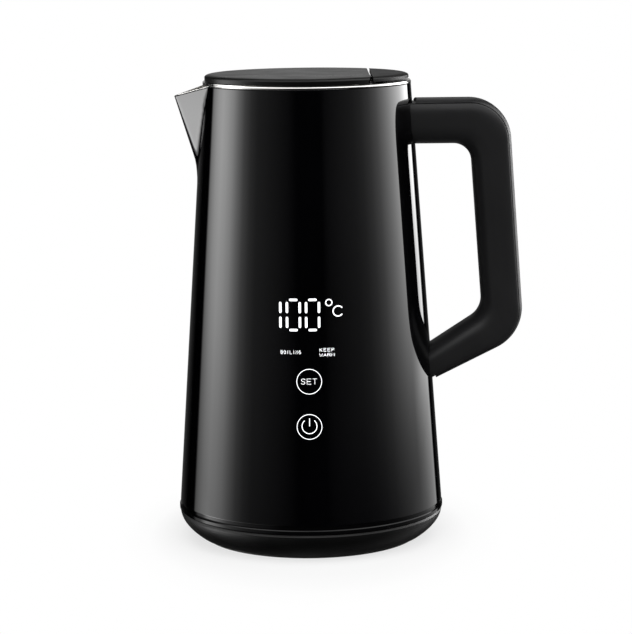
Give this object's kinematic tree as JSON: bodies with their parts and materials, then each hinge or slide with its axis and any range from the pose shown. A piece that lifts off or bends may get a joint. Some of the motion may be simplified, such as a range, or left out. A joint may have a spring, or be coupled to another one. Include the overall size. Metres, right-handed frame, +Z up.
{
  "type": "cordless electric kettle",
  "caption": "Glossy black double-wall electric kettle with a short V-shaped beak, D-shaped handle, sprung flap lid with a press button, and a round power base it lifts off and turns on.",
  "frame": {"origin": "the body's axis where the power base's rubber foot ring meets the table", "axes": "+Z up, along the body's axis; -X towards the beak; +X towards the handle; the display faces -Y"},
  "size_m": [0.1859, 0.143, 0.25],
  "materials": {
    "gloss_black": "mirror-gloss black",
    "matte_black": "fine matte black",
    "inner_black": "plain black",
    "steel": "brushed stainless",
    "polished_steel": "polished",
    "aluminium": "plain",
    "brass": "plain",
    "board_green": "solder-mask green",
    "rubber_black": "matte",
    "silicone": "translucent grey silicone"
  },
  "bodies": {
    "power_base": {"base_shell": "matte_black", "base_plate": "inner_black", "foot_ring": "rubber_black", "base_screws": "polished_steel", "base_socket": "inner_black", "socket_contacts": "brass", "shutter_spring": "polished_steel", "cord_gland": "rubber_black"},
    "shutter": {"socket_shutter": "inner_black"},
    "kettle": {"outer_shell": "gloss_black", "inner_vessel": "steel", "spout_liner": "steel", "bottom_cover": "inner_black", "body_screws": "polished_steel", "heating_plate": "aluminium", "heating_element": "aluminium", "coupler": "inner_black", "coupler_pin": "brass", "coupler_ring": "brass", "temperature_sensor": "polished_steel", "control_board": "board_green", "display_frame": "inner_black", "display_board": "board_green", "touch_springs": "polished_steel", "handle_shell": "matte_black", "handle_cover": "matte_black", "handle_screws": "polished_steel", "hinge_housing": "inner_black", "lid_catch": "polished_steel", "button_springs": "polished_steel"},
    "lid": {"lid_cover": "matte_black", "lid_plug": "steel", "lid_gasket": "silicone", "lid_pins": "polished_steel", "lid_spring": "polished_steel", "lid_screws": "polished_steel"},
    "button": {"lid_button": "matte_black"}
  },
  "joints": [
    {"name": "kettle_turn", "type": "hinge", "parent": "power_base", "child": "shutter", "pos_m": [0, 0, 0.012], "axis": [0, 0, 1], "continuous": true},
    {"name": "kettle_lift", "type": "slide", "parent": "shutter", "child": "kettle", "axis": [0, 0, 1], "range_m": [0, 0.08]},
    {"name": "lid_hinge", "type": "hinge", "parent": "kettle", "child": "lid", "pos_m": [0.0312, 0, 0.2474], "axis": [0, 1, 0], "range_deg": [0, 75]},
    {"name": "button_press", "type": "slide", "parent": "kettle", "child": "button", "axis": [0, 0, -1], "range_m": [0, 0.0012], "stiffness_N_per_m": 400, "springref_m": -0.0008}
  ]
}
